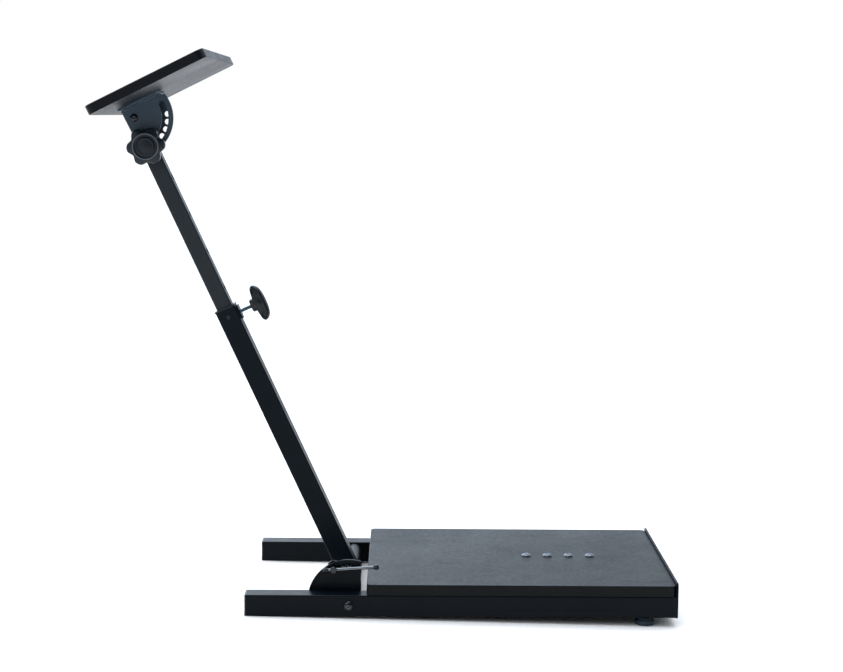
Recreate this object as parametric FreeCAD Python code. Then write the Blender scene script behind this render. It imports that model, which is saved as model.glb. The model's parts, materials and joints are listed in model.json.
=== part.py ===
import FreeCAD, Part
import math
import os

# A free-standing folding stand: two square-tube rails carry a flat pedal board
# with an end stop, a leaning telescopic mast is indexed in a quadrant beside the
# near rail, and a tilting head on top of the mast holds a rectangular table.
#
# Everything is drawn in the base frame first: X along the rails from their left
# ends, Y across the stand from the near rail's outer face, Z up from the rails'
# underside. Mast parts are drawn upright about the mast pivot, head parts about
# the head pivot. At the end the whole stand is tipped so that the rail ends and
# the levelling feet both touch the floor.

V = FreeCAD.Vector
ORIGIN = V(0, 0, 0)
X_AXIS = V(1, 0, 0)
Y_AXIS = V(0, 1, 0)
Z_AXIS = V(0, 0, 1)

# ---------------------------------------------------------------- base (mm)
TUBE = 32.0                  # outer size of the rail and lower mast tube
TUBE_WALL = 1.5
TUBE_CORNER = 1.8
BASE_WIDTH = 355.0           # outer face to outer face of the rails
BASE_LENGTH = 644.0          # rail plugs to the end stop's outer face
PLUG_FLANGE = 2.0
END_STOP_T = 3.0
END_STOP_RISE = 4.0          # lip above the board
BOARD_T = 16.5
BOARD_START = 181.0
BOARD_CORNER = 8.0
PANEL_EDGE = 1.2             # softened edge of the board and the table
CROSS_TUBE = 25.0
CROSS_TUBE_STARTS = (205.0, 580.0)
STRAP_WIDTH = 50.0
STRAP_T = 4.0
BOARD_SCREW_FIRST = 430.0
BOARD_SCREW_PITCH = 33.4
BOARD_SCREW_COUNT = 4

# --------------------------------------------------------- levelling feet
FOOT_X = 596.5
FOOT_PAD_R = 15.0
FOOT_HEIGHT = 13.0           # pad underside below the rail
FOOT_PAD_T = 8.0
FOOT_EDGE = 1.0
FOOT_GAP = 2.0               # left above the pad's neck for winding in
FOOT_NECK_R = 11.0
STUD_R = 4.0                 # M8 threads are plain cylinders
FOOT_STUD_TOP = 24.0

# ------------------------------------------------- mast pivot and quadrant
PIVOT_X = 154.0
PIVOT_Z = TUBE / 2
MAST_LEAN = 24.95            # degrees from upright, towards -X
INDEX_COUNT = 4              # quadrant holes, from upright to that lean
INDEX_R = 54.0
QUADRANT_R = 62.0
QUADRANT_T = 4.0
QUADRANT_RIGHT = 18.0        # straight edge beyond the pivot
QUADRANT_FOOT = 3.0
M6_R = 3.0
M6_THREAD_R = 3.05
M8_THREAD_R = 4.05
M8_CLEAR_R = 4.2
WASHER_R = 12.0
WASHER_T = 1.5
WASHER_GAP = 0.15
PIVOT_TUBE_R = 14.0
PIVOT_TUBE_WALL = 2.0
PIVOT_PLUG_LENGTH = 20.0
ARM_T = 5.0
ARM_EYE_R = 14.0
ARM_END_R = 10.0

# ------------------------------------------------------------ lock screw
HUB_R = 5.0
HUB_LENGTH = 14.0
BAR_R = 2.4
BALL_R = 4.2
BAR_LEFT = -12.0             # ball centres from the hub's axis
BAR_RIGHT = 64.0
BAR_RISE = 4.0               # degrees
BAR_DEPTH = 9.0              # bar axis in front of the quadrant

# ------------------------------------------------------------------ mast
MID_Y = BASE_WIDTH / 2
OUTER_BOTTOM = -2.0
OUTER_TOP = 466.0
SLEEVE_LENGTH = 40.0
SLEEVE_FLANGE = 2.2
SLEEVE_FLANGE_SIZE = 34.0
SLEEVE_HOLE_R = 3.9
SLEEVE_BUTTON_R = 3.1
INNER = 25.0
INNER_CORNER = 2.2
INNER_BOTTOM = 262.0
INNER_TOP = 795.0
SLIDE_GAP = 0.15             # inner tube to sleeve, each side
INDEX_HOLE_R = 5.0
INDEX_HOLE_TOP = 683.75
INDEX_HOLE_PITCH = 62.5
INDEX_HOLE_COUNT = 7
CLAMP_S = 453.0              # wing screw, along the mast
BOSS_T = 3.5
BOSS_R = 11.5
GLIDE_LENGTH = 10.0
GLIDE_GAP = 0.2

# ------------------------------------------------------------ wing screw
WING_HALF = 29.0
WING_NEAR = 44.8             # from the mast's axis
WING_CROWN = 62.4
WING_END_T = 13.0
WING_WIDTH = 20.0
WING_HUB_START = 37.7
WING_HUB_R = 10.3
WING_SOCKET = 12.0           # how far the stud goes into the knob

# ------------------------------------------------------------------ head
HEAD_S = 788.6               # head pivot, along the mast
HEAD_TILT = 26.56            # degrees, table's left edge low
CHEEK_T = 3.0
CHEEK_GAP = 0.3              # cheek to inner tube
CHEEK_LEFT = -13.5
CHEEK_R_NEAR = 59.5
CHEEK_R_FAR = 55.0
CHEEK_TOP_CLIP = 10.0        # clipped corner below the mounting plate
CHEEK_CORNER_B = 11.5
BRACKET_B = 16.1             # underside of the mounting plate above the pivot
BRACKET_T = 3.0
BRACKET_LEFT = -13.0
BRACKET_RIGHT = 51.5
BRACKET_WIDTH = 102.0
CLAMP_R = 47.2               # clamp bolt from the head pivot
CLAMP_ANGLE = -91.2          # in the head frame
HEAD_STEP = 14.45            # degrees between the far cheek's stop holes
HEAD_STEPS = 5
SLOT_HALF = 5.0
SLOT_START = -0.5
SLOT_END = -96.0
TABLE_T = 14.0
TABLE_LEFT = -30.4
TABLE_WIDTH = 186.8
TABLE_LENGTH = 413.4
TABLE_CORNER = 12.0
TABLE_BOLT_A = (-3.0, 41.0)
TABLE_BOLT_Y = 38.0          # from the middle
TABLE_BOLT_TIP = 0.8         # below the mounting plate

# -------------------------------------------------------------- star knob
KNOB_R = 29.4
KNOB_VALLEY_R = 23.8
KNOB_SHOULDER = 1.2          # drop from a lobe's middle to its corners
KNOB_LOBE_HALF = 11.0        # degrees
KNOB_LOBES = 6
KNOB_PHASE = -18.0
KNOB_BODY_T = 13.0
KNOB_HUB_R = 11.0
KNOB_HUB_T = 10.0
KNOB_RING_R = 20.0
KNOB_RING_T = 3.0
KNOB_BOWL = 2.5              # depth of the dished cap inside the ring
KNOB_BOLT_R = 4.0
KNOB_WASHER_R = 10.0
FACE_GAP = 0.1               # between flat faces that turn on each other


# ================================================================ shapes
def box(x0, x1, y0, y1, z0, z1):
    return Part.makeBox(x1 - x0, y1 - y0, z1 - z0, V(x0, y0, z0))


def rod(radius, start, end):
    """A solid cylinder between two points."""
    span = end.sub(start)
    return Part.makeCylinder(radius, span.Length, start, span)


def y_rod(radius, x, z, y0, y1):
    return rod(radius, V(x, y0, z), V(x, y1, z))


def rounded_rectangle(width, height, corner):
    """A closed wire in the XY plane, centred on the origin."""
    w, h = width / 2, height / 2
    near_w, near_h = w - corner, h - corner
    bend = corner * (1 - math.sqrt(0.5))
    edges = [
        Part.LineSegment(V(-near_w, -h, 0), V(near_w, -h, 0)),
        Part.Arc(V(near_w, -h, 0), V(w - bend, -h + bend, 0), V(w, -near_h, 0)),
        Part.LineSegment(V(w, -near_h, 0), V(w, near_h, 0)),
        Part.Arc(V(w, near_h, 0), V(w - bend, h - bend, 0), V(near_w, h, 0)),
        Part.LineSegment(V(near_w, h, 0), V(-near_w, h, 0)),
        Part.Arc(V(-near_w, h, 0), V(-w + bend, h - bend, 0), V(-w, near_h, 0)),
        Part.LineSegment(V(-w, near_h, 0), V(-w, -near_h, 0)),
        Part.Arc(V(-w, -near_h, 0), V(-w + bend, -h + bend, 0), V(-near_w, -h, 0)),
    ]
    return Part.Wire([edge.toShape() for edge in edges])


def rounded_bar(width, height, corner, length):
    """A bar along +Z with a rounded rectangular section."""
    return Part.Face(rounded_rectangle(width, height, corner)).extrude(V(0, 0, length))


def square_tube(size, wall, corner, length):
    inside = rounded_bar(size - 2 * wall, size - 2 * wall, corner - wall, length)
    return rounded_bar(size, size, corner, length).cut(inside)


def along_x(shape):
    """Lay a shape drawn along +Z so that it runs along +X."""
    shape = shape.copy()
    shape.rotate(ORIGIN, Y_AXIS, 90)
    return shape


def along_y(shape):
    """Lay a shape drawn along +Z so that it runs along +Y."""
    shape = shape.copy()
    shape.rotate(ORIGIN, X_AXIS, -90)
    return shape


def moved(shape, x, y, z):
    shape = shape.copy()
    shape.translate(V(x, y, z))
    return shape


def group(solids):
    return Part.makeCompound(solids)


def hexagon_bar(across_flats, length):
    radius = across_flats / math.sqrt(3)
    corners = [V(radius * math.cos(math.radians(60 * k)), radius * math.sin(math.radians(60 * k)), 0)
               for k in range(7)]
    return Part.Face(Part.makePolygon(corners)).extrude(V(0, 0, length))


def nut(across_flats, thickness, bore_r):
    """A plain hexagon nut along +Z with its corners turned down."""
    body = hexagon_bar(across_flats, thickness)
    blank = Part.makeCylinder(across_flats * 0.56, thickness)
    turned = blank.makeFillet(0.6, blank.Edges)
    return body.common(turned).cut(Part.makeCylinder(bore_r, thickness))


def domed_head(radius, height):
    """A button head on z = 0 with its dome towards +Z."""
    sphere_r = (radius ** 2 + height ** 2) / (2 * height)
    ball = Part.makeSphere(sphere_r, V(0, 0, height - sphere_r))
    return ball.common(Part.makeCylinder(radius, height))


def cross_recess(size, depth, top):
    slots = box(-size / 2, size / 2, -0.8, 0.8, top - depth, top + 1)
    return slots.fuse(box(-0.8, 0.8, -size / 2, size / 2, top - depth, top + 1))


def washer(outer_r, inner_r, thickness):
    return Part.makeCylinder(outer_r, thickness).cut(Part.makeCylinder(inner_r, thickness))


def softened_panel(x_size, y_size, thickness, corner):
    """A flat panel on z = 0, centred in X and Y, with softened edges."""
    panel = rounded_bar(x_size, y_size, corner, thickness)
    rims = [edge for edge in panel.Edges
            if abs(edge.BoundBox.ZMax - edge.BoundBox.ZMin) < 0.01]
    return panel.makeFillet(PANEL_EDGE, rims)


# ================================================================ placing
def on_mast(shape):
    """From the upright mast frame (pivot at the origin) to the base frame."""
    shape = shape.copy()
    shape.rotate(ORIGIN, Y_AXIS, -MAST_LEAN)
    shape.translate(V(PIVOT_X, 0, PIVOT_Z))
    return shape


def mast_point(n, y, s):
    """A point n beyond the mast's axis and s along it, in the base frame."""
    lean = math.radians(MAST_LEAN)
    return V(PIVOT_X + n * math.cos(lean) - s * math.sin(lean), y,
             PIVOT_Z + n * math.sin(lean) + s * math.cos(lean))


def on_head(shape):
    """From the head frame (pivot at the origin, table level) to the base frame."""
    shape = shape.copy()
    shape.rotate(ORIGIN, Y_AXIS, -HEAD_TILT)
    shape.translate(mast_point(0, 0, HEAD_S))
    return shape


def head_point(a, y, b):
    """A point a along the table and b above the head pivot, in the base frame."""
    tilt = math.radians(HEAD_TILT)
    pivot = mast_point(0, 0, HEAD_S)
    return V(pivot.x + a * math.cos(tilt) - b * math.sin(tilt), y,
             pivot.z + a * math.sin(tilt) + b * math.cos(tilt))


def rest_tilt():
    """Degrees that the rails rise from their left ends to the levelling feet."""
    reach = FOOT_X - FOOT_PAD_R + FOOT_EDGE
    return math.degrees(math.atan(FOOT_HEIGHT / reach))


def tipped(point):
    tilt = math.radians(rest_tilt())
    return V(point.x * math.cos(tilt) - point.z * math.sin(tilt), point.y,
             point.x * math.sin(tilt) + point.z * math.cos(tilt))


def middle_x():
    """Middle of the tipped stand, from the table's low corner to the end stop."""
    low = tipped(head_point(TABLE_LEFT, 0, BRACKET_B + BRACKET_T + TABLE_T - PANEL_EDGE))
    return (low.x + tipped(V(BASE_LENGTH, 0, 0)).x) / 2


def floor_point(point):
    """From the base frame to the finished frame."""
    return tipped(point).sub(V(middle_x(), MID_Y, 0))


def floor_direction(direction):
    return tipped(direction)


def to_floor(shape):
    shape = shape.copy()
    shape.rotate(ORIGIN, Y_AXIS, -rest_tilt())
    shape.translate(V(-middle_x(), -MID_Y, 0))
    return shape


# ================================================================ base
def rail(y0):
    length = BASE_LENGTH - END_STOP_T - PLUG_FLANGE
    tube = along_x(square_tube(TUBE, TUBE_WALL, TUBE_CORNER, length))
    tube = moved(tube, PLUG_FLANGE, y0 + TUBE / 2, TUBE / 2)
    tube = tube.cut(y_rod(M8_CLEAR_R, PIVOT_X, PIVOT_Z, y0 - 1, y0 + TUBE + 1))
    foot_hole = rod(STUD_R + 0.6, V(FOOT_X, y0 + TUBE / 2, -1), V(FOOT_X, y0 + TUBE / 2, TUBE / 2))
    return tube.cut(foot_hole)


RAIL_STARTS = (0.0, BASE_WIDTH - TUBE)


def rail_plug(y0):
    flange = along_x(rounded_bar(TUBE, TUBE, TUBE_CORNER, PLUG_FLANGE))
    size = TUBE - 2 * TUBE_WALL - 0.2
    stub = along_x(square_tube(size, 2.0, 2.2, 16.0))
    plug = flange.fuse(moved(stub, PLUG_FLANGE, 0, 0))
    return moved(plug, 0, y0 + TUBE / 2, TUBE / 2)


def cross_tube(x0):
    length = BASE_WIDTH - 2 * TUBE
    tube = along_y(square_tube(CROSS_TUBE, TUBE_WALL, INNER_CORNER, length))
    return moved(tube, x0 + CROSS_TUBE / 2, TUBE, TUBE - CROSS_TUBE / 2)


def board_screw_places():
    return [BOARD_SCREW_FIRST + k * BOARD_SCREW_PITCH for k in range(BOARD_SCREW_COUNT)]


def centre_strap():
    x0 = CROSS_TUBE_STARTS[0] + CROSS_TUBE
    x1 = CROSS_TUBE_STARTS[1]
    strap = box(x0, x1, MID_Y - STRAP_WIDTH / 2, MID_Y + STRAP_WIDTH / 2, TUBE - STRAP_T, TUBE)
    for x in board_screw_places():
        strap = strap.cut(rod(M8_CLEAR_R, V(x, MID_Y, 0), V(x, MID_Y, TUBE + 1)))
    return strap


def strap_nuts():
    one = nut(13.0, 6.5, STUD_R)
    return group([moved(one, x, MID_Y, TUBE - STRAP_T - 6.5) for x in board_screw_places()])


def pedal_board():
    length = BASE_LENGTH - END_STOP_T - BOARD_START
    board = softened_panel(length, BASE_WIDTH, BOARD_T, BOARD_CORNER)
    board = moved(board, BOARD_START + length / 2, MID_Y, TUBE)
    for x in board_screw_places():
        board = board.cut(rod(M8_CLEAR_R, V(x, MID_Y, TUBE - 1), V(x, MID_Y, TUBE + BOARD_T + 1)))
    return board


def board_screws():
    head = domed_head(7.4, 3.6).cut(cross_recess(7.5, 2.2, 3.6))
    shank_length = BOARD_T + STRAP_T + 9
    screw = head.fuse(Part.makeCylinder(STUD_R, shank_length, V(0, 0, -shank_length)))
    return group([moved(screw, x, MID_Y, TUBE + BOARD_T) for x in board_screw_places()])


def end_stop():
    height = TUBE + BOARD_T + END_STOP_RISE
    plate = box(BASE_LENGTH - END_STOP_T, BASE_LENGTH, 0, BASE_WIDTH, 0, height)
    corners = [edge for edge in plate.Edges
               if abs(edge.BoundBox.XMax - edge.BoundBox.XMin - END_STOP_T) < 0.01
               and edge.BoundBox.ZMin > height / 2]
    return plate.makeFillet(4.0, corners)


def index_angles():
    return [k * MAST_LEAN / (INDEX_COUNT - 1) for k in range(INDEX_COUNT)]


def index_quadrant():
    plate = y_rod(QUADRANT_R, PIVOT_X, PIVOT_Z, TUBE, TUBE + QUADRANT_T)
    keep = box(0, PIVOT_X + QUADRANT_RIGHT, 0, BASE_WIDTH, QUADRANT_FOOT, TUBE * 3)
    plate = plate.common(keep)
    plate = plate.cut(y_rod(M8_CLEAR_R, PIVOT_X, PIVOT_Z, TUBE - 1, TUBE + QUADRANT_T + 1))
    for angle in index_angles():
        x = PIVOT_X - INDEX_R * math.sin(math.radians(angle))
        z = PIVOT_Z + INDEX_R * math.cos(math.radians(angle))
        plate = plate.cut(y_rod(M6_R + 0.2, x, z, TUBE - 1, TUBE + QUADRANT_T + 1))
    return plate


def arm_start_y():
    return TUBE + QUADRANT_T + 2 * WASHER_GAP + WASHER_T


def pivot_tube_span():
    start = arm_start_y() + ARM_T
    end = BASE_WIDTH - TUBE - WASHER_T - FACE_GAP
    return start, end


def pivot_bolt():
    """Drawn along +Z from the head's seat at z = 0."""
    head = domed_head(7.3, 4.4)
    socket = moved(hexagon_bar(5.0, 4.0), 0, 0, 1.8)
    shank = Part.makeCylinder(STUD_R, 58.0, V(0, 0, -58.0))
    return head.cut(socket).fuse(shank)


def pivot_bolts():
    near = pivot_bolt()
    near.rotate(ORIGIN, X_AXIS, 90)
    far = pivot_bolt()
    far.rotate(ORIGIN, X_AXIS, -90)
    return group([moved(near, PIVOT_X, 0, PIVOT_Z), moved(far, PIVOT_X, BASE_WIDTH, PIVOT_Z)])


def pivot_washers():
    near = along_y(washer(WASHER_R, M8_CLEAR_R, WASHER_T))
    thin = WASHER_T - FACE_GAP
    far = along_y(washer(WASHER_R, M8_CLEAR_R, thin))
    near_y = TUBE + QUADRANT_T + WASHER_GAP
    far_y = BASE_WIDTH - TUBE - thin
    return group([moved(near, PIVOT_X, near_y, PIVOT_Z), moved(far, PIVOT_X, far_y, PIVOT_Z)])


def foot_nuts():
    one = nut(13.0, 6.5, M8_THREAD_R)
    return group([moved(one, FOOT_X, y0 + TUBE / 2, TUBE_WALL) for y0 in RAIL_STARTS])


def foot_pad(y0):
    pad = Part.makeCylinder(FOOT_PAD_R, FOOT_PAD_T, V(0, 0, -FOOT_HEIGHT))
    pad = pad.makeFillet(FOOT_EDGE, pad.Edges)
    neck_t = FOOT_HEIGHT - FOOT_PAD_T - FOOT_GAP
    neck = Part.makeCylinder(FOOT_NECK_R, neck_t, V(0, 0, FOOT_PAD_T - FOOT_HEIGHT))
    bore = Part.makeCylinder(STUD_R, FOOT_HEIGHT, V(0, 0, 4 - FOOT_HEIGHT))
    return moved(pad.fuse(neck).cut(bore), FOOT_X, y0 + TUBE / 2, 0)


def foot_stud(y0):
    bottom = 4 - FOOT_HEIGHT
    stud = Part.makeCylinder(STUD_R, FOOT_STUD_TOP - bottom, V(0, 0, bottom))
    return moved(stud, FOOT_X, y0 + TUBE / 2, 0)


# ============================================================ lock screw
def lock_axis():
    lean = math.radians(MAST_LEAN)
    return PIVOT_X - INDEX_R * math.sin(lean), PIVOT_Z + INDEX_R * math.cos(lean)


def bar_point(distance):
    """A point on the sliding bar's axis, measured from the hub's axis."""
    x, z = lock_axis()
    rise = math.radians(BAR_RISE)
    return V(x + distance * math.cos(rise), TUBE - BAR_DEPTH, z + distance * math.sin(rise))


def lock_screw():
    x, z = lock_axis()
    face = TUBE - FACE_GAP
    hub = y_rod(HUB_R, x, z, face - HUB_LENGTH, face)
    rim = [edge for edge in hub.Edges if edge.BoundBox.YMax < face - HUB_LENGTH + 0.1]
    hub = hub.makeFillet(1.2, rim)
    hub = hub.cut(rod(BAR_R + 0.08, bar_point(-20), bar_point(20)))
    tip_y = TUBE + QUADRANT_T + WASHER_GAP
    return hub.fuse(y_rod(M6_R, x, z, face, tip_y))


def tommy_bar():
    return rod(BAR_R, bar_point(BAR_LEFT), bar_point(BAR_RIGHT))


def tommy_bar_balls():
    balls = []
    along_bar = bar_point(1).sub(bar_point(0))
    for distance in (BAR_LEFT, BAR_RIGHT):
        ball = Part.makeSphere(BALL_R, bar_point(distance), along_bar)
        balls.append(ball.cut(tommy_bar()))
    return group(balls)


# ============================================================ lower mast
def pivot_tube():
    start, end = pivot_tube_span()
    tube = y_rod(PIVOT_TUBE_R, 0, 0, start, end)
    return on_mast(tube.cut(y_rod(PIVOT_TUBE_R - PIVOT_TUBE_WALL, 0, 0, start, end)))


def pivot_tube_inserts():
    start, end = pivot_tube_span()
    radius = PIVOT_TUBE_R - PIVOT_TUBE_WALL
    insert = along_y(washer(radius, M8_THREAD_R, PIVOT_PLUG_LENGTH))
    return group([on_mast(moved(insert, 0, start, 0)),
                  on_mast(moved(insert, 0, end - PIVOT_PLUG_LENGTH, 0))])


def lock_arm():
    """A tapered arm from an eye on the pivot to a rounded end at the lock screw."""
    y0 = arm_start_y()
    y1 = y0 + ARM_T
    slope = math.asin((ARM_EYE_R - ARM_END_R) / INDEX_R)
    side = V(math.cos(slope), 0, math.sin(slope))
    mirror = V(-side.x, 0, side.z)
    top = V(0, 0, INDEX_R)
    corners = [side * ARM_EYE_R, top + side * ARM_END_R, top + mirror * ARM_END_R,
               mirror * ARM_EYE_R, side * ARM_EYE_R]
    web = Part.Face(Part.makePolygon(corners)).extrude(V(0, ARM_T, 0))
    web.translate(V(0, y0, 0))
    arm = web.fuse(y_rod(ARM_EYE_R, 0, 0, y0, y1)).fuse(y_rod(ARM_END_R, 0, INDEX_R, y0, y1))
    arm = arm.removeSplitter().cut(y_rod(M8_CLEAR_R, 0, 0, y0, y1))
    return on_mast(arm.cut(y_rod(M6_THREAD_R, 0, INDEX_R, y0, y1)))


def lock_arm_nut():
    one = along_y(nut(10.0, 5.0, M6_THREAD_R))
    return on_mast(moved(one, 0, arm_start_y() + ARM_T, INDEX_R))


def outer_tube():
    tube = square_tube(TUBE, TUBE_WALL, TUBE_CORNER, OUTER_TOP - OUTER_BOTTOM)
    tube = moved(tube, 0, MID_Y, OUTER_BOTTOM)
    tube = tube.cut(y_rod(PIVOT_TUBE_R, 0, 0, 0, BASE_WIDTH))
    tube = tube.cut(rod(M6_R + 0.5, V(0, MID_Y, CLAMP_S), V(TUBE, MID_Y, CLAMP_S)))
    return on_mast(tube.cut(y_rod(SLEEVE_HOLE_R, 0, CLAMP_S, 0, BASE_WIDTH)))


def guide_sleeve():
    size = TUBE - 2 * TUBE_WALL - 0.1
    hole = INNER + 2 * SLIDE_GAP
    body = rounded_bar(size, size, TUBE_CORNER - TUBE_WALL, SLEEVE_LENGTH)
    flange = rounded_bar(SLEEVE_FLANGE_SIZE, SLEEVE_FLANGE_SIZE, TUBE_CORNER, SLEEVE_FLANGE)
    flange = flange.makeFillet(0.8, [edge for edge in flange.Edges
                                     if edge.BoundBox.ZMin > SLEEVE_FLANGE - 0.1])
    sleeve = body.fuse(moved(flange, 0, 0, SLEEVE_LENGTH))
    sleeve = moved(sleeve, 0, MID_Y, OUTER_TOP - SLEEVE_LENGTH)
    proud = TUBE / 2 + 0.3
    buttons = y_rod(SLEEVE_BUTTON_R, 0, CLAMP_S, MID_Y - proud, MID_Y + proud)
    sleeve = sleeve.fuse(buttons)
    bore = rounded_bar(hole, hole, INNER_CORNER, SLEEVE_LENGTH * 2)
    sleeve = sleeve.cut(moved(bore, 0, MID_Y, OUTER_TOP - SLEEVE_LENGTH - 5))
    return on_mast(sleeve.cut(rod(M6_R + 0.5, V(0, MID_Y, CLAMP_S), V(TUBE, MID_Y, CLAMP_S))))


def clamp_boss():
    face = TUBE / 2
    disc = rod(BOSS_R, V(face, MID_Y, CLAMP_S), V(face + BOSS_T, MID_Y, CLAMP_S))
    top = box(face, face + BOSS_T, MID_Y - BOSS_R, MID_Y + BOSS_R, CLAMP_S, CLAMP_S + BOSS_R - 0.5)
    boss = disc.fuse(top).removeSplitter()
    return on_mast(boss.cut(rod(M6_THREAD_R, V(0, MID_Y, CLAMP_S), V(TUBE, MID_Y, CLAMP_S))))


# ============================================================ wing screw
def wing_stud():
    tip = INNER / 2 + 0.3
    end = WING_HUB_START + WING_SOCKET
    return on_mast(rod(M6_R, V(tip, MID_Y, CLAMP_S), V(end, MID_Y, CLAMP_S)))


def wing_knob():
    """A thick crowned wing across the screw, on a short round hub."""
    inner, crown = WING_NEAR, WING_CROWN
    shoulder = inner + WING_END_T
    half = WING_HALF
    turn = 6.0
    middle = (inner + shoulder) / 2
    outline = [
        Part.LineSegment(V(inner, 0, -half + turn), V(inner, 0, half - turn)),
        Part.Arc(V(inner, 0, half - turn), V(middle, 0, half), V(shoulder, 0, half - turn)),
        Part.Arc(V(shoulder, 0, half - turn), V(crown, 0, 0), V(shoulder, 0, -half + turn)),
        Part.Arc(V(shoulder, 0, -half + turn), V(middle, 0, -half), V(inner, 0, -half + turn)),
    ]
    wire = Part.Wire([edge.toShape() for edge in outline])
    wing = Part.Face(wire).extrude(V(0, WING_WIDTH, 0))
    wing.translate(V(0, -WING_WIDTH / 2, 0))
    wing = wing.makeFillet(3.5, [edge for edge in wing.Edges
                                 if edge.BoundBox.YMax - edge.BoundBox.YMin < 0.01])
    knob = wing.fuse(rod(WING_HUB_R, V(WING_HUB_START, 0, 0), V(middle, 0, 0)))
    knob = knob.cut(rod(M6_R, V(0, 0, 0), V(WING_HUB_START + WING_SOCKET, 0, 0)))
    return on_mast(moved(knob, 0, MID_Y, CLAMP_S))


# ============================================================ upper mast
def clamp_place():
    """The star knob's bolt in the upright mast frame: n and s."""
    angle = math.radians(CLAMP_ANGLE + HEAD_TILT - MAST_LEAN)
    return CLAMP_R * math.cos(angle), HEAD_S + CLAMP_R * math.sin(angle)


def inner_tube():
    tube = square_tube(INNER, TUBE_WALL, INNER_CORNER, INNER_TOP - INNER_BOTTOM)
    tube = moved(tube, 0, MID_Y, INNER_BOTTOM)
    for k in range(INDEX_HOLE_COUNT):
        s = INDEX_HOLE_TOP - k * INDEX_HOLE_PITCH
        tube = tube.cut(rod(INDEX_HOLE_R, V(0, MID_Y, s), V(INNER, MID_Y, s)))
    tube = tube.cut(y_rod(M6_R + 0.1, 0, HEAD_S, 0, BASE_WIDTH))
    n, s = clamp_place()
    return on_mast(tube.cut(y_rod(KNOB_BOLT_R + 0.1, n, s, 0, BASE_WIDTH)))


def inner_tube_cap():
    size = INNER - 2 * TUBE_WALL - 0.2
    cap = rounded_bar(size, size, 1.0, 12.0)
    cap = cap.fuse(moved(rounded_bar(INNER, INNER, INNER_CORNER, 1.5), 0, 0, 12.0))
    cap = moved(cap, 0, MID_Y, INNER_TOP - 12.0)
    return on_mast(cap.cut(y_rod(5.2, 0, HEAD_S, 0, BASE_WIDTH)))


def inner_tube_glide():
    size = TUBE - 2 * TUBE_WALL - 2 * GLIDE_GAP
    glide = rounded_bar(size, size, TUBE_CORNER - TUBE_WALL, GLIDE_LENGTH)
    stub = INNER - 2 * TUBE_WALL - 0.2
    glide = glide.fuse(moved(rounded_bar(stub, stub, 1.0, 16.0), 0, 0, GLIDE_LENGTH))
    return on_mast(moved(glide, 0, MID_Y, INNER_BOTTOM - GLIDE_LENGTH))


def cheek_start():
    """Outer face of the near cheek, measured from the middle."""
    return INNER / 2 + CHEEK_GAP + CHEEK_T


def head_pivot_bolt():
    seat = cheek_start() + FACE_GAP
    head = domed_head(6.0, 3.4).cut(moved(hexagon_bar(4.0, 4.0), 0, 0, 1.5))
    shank = 2 * seat + 6.5
    bolt = head.fuse(Part.makeCylinder(M6_R, shank, V(0, 0, -shank)))
    bolt.rotate(ORIGIN, X_AXIS, 90)
    return on_mast(moved(bolt, 0, MID_Y - seat, HEAD_S))


def head_pivot_nut():
    one = along_y(nut(10.0, 5.0, M6_R))
    return on_mast(moved(one, 0, MID_Y + cheek_start() + FACE_GAP, HEAD_S))


def head_pivot_spacer():
    length = INNER - 2 * TUBE_WALL
    spacer = along_y(washer(5.0, M6_R + 0.1, length))
    return on_mast(moved(spacer, 0, MID_Y - length / 2, HEAD_S))


def clamp_nut():
    n, s = clamp_place()
    one = along_y(nut(13.0, 6.5, KNOB_BOLT_R + 0.05))
    return on_mast(moved(one, n, MID_Y + INNER / 2 - TUBE_WALL - 6.5, s))


# ============================================================= star knob
def star_outline():
    """Six rounded lobes joined by hollows, as a closed wire in the XY plane."""
    def at(radius, degrees):
        angle = math.radians(degrees)
        return V(radius * math.cos(angle), radius * math.sin(angle), 0)

    pitch = 360.0 / KNOB_LOBES
    corner_r = KNOB_R - KNOB_SHOULDER
    edges = []
    for k in range(KNOB_LOBES):
        lobe = KNOB_PHASE + k * pitch
        start = at(corner_r, lobe - KNOB_LOBE_HALF)
        end = at(corner_r, lobe + KNOB_LOBE_HALF)
        following = at(corner_r, lobe + pitch - KNOB_LOBE_HALF)
        edges.append(Part.Arc(start, at(KNOB_R, lobe), end).toShape())
        edges.append(Part.Arc(end, at(KNOB_VALLEY_R, lobe + pitch / 2), following).toShape())
    return Part.Wire(edges)


def star_knob():
    """Drawn with its face towards +Z and its hub's seat at z = 0."""
    body = Part.Face(star_outline()).extrude(V(0, 0, KNOB_BODY_T))
    body = body.makeFillet(1.6, [edge for edge in body.Edges
                                 if edge.BoundBox.ZMax - edge.BoundBox.ZMin < 0.01])
    body.translate(V(0, 0, KNOB_HUB_T))
    top = KNOB_HUB_T + KNOB_BODY_T
    knob = body.fuse(Part.makeCylinder(KNOB_HUB_R, KNOB_HUB_T + 1))
    knob = knob.fuse(Part.makeCylinder(KNOB_RING_R, KNOB_RING_T + 1, V(0, 0, top - 1)))
    bowl_r = KNOB_RING_R - 1.8
    knob = knob.cut(Part.makeCone(bowl_r - KNOB_BOWL, bowl_r, KNOB_BOWL,
                                  V(0, 0, top + KNOB_RING_T - KNOB_BOWL), Z_AXIS))
    return knob.cut(Part.makeCylinder(KNOB_BOLT_R, KNOB_HUB_T + 6))


def knob_seat_y():
    return MID_Y - cheek_start() - FACE_GAP - WASHER_T - FACE_GAP


def placed_star_knob():
    n, s = clamp_place()
    knob = star_knob()
    knob.rotate(ORIGIN, X_AXIS, 90)
    return on_mast(moved(knob, n, knob_seat_y(), s))


def star_knob_bolt():
    n, s = clamp_place()
    return on_mast(y_rod(KNOB_BOLT_R, n, s, knob_seat_y() - KNOB_HUB_T - 6, MID_Y + INNER / 2 - 0.1))


def star_knob_washer():
    n, s = clamp_place()
    one = along_y(washer(KNOB_WASHER_R, KNOB_BOLT_R, WASHER_T))
    return on_mast(moved(one, n, knob_seat_y() + FACE_GAP / 2, s))


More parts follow.
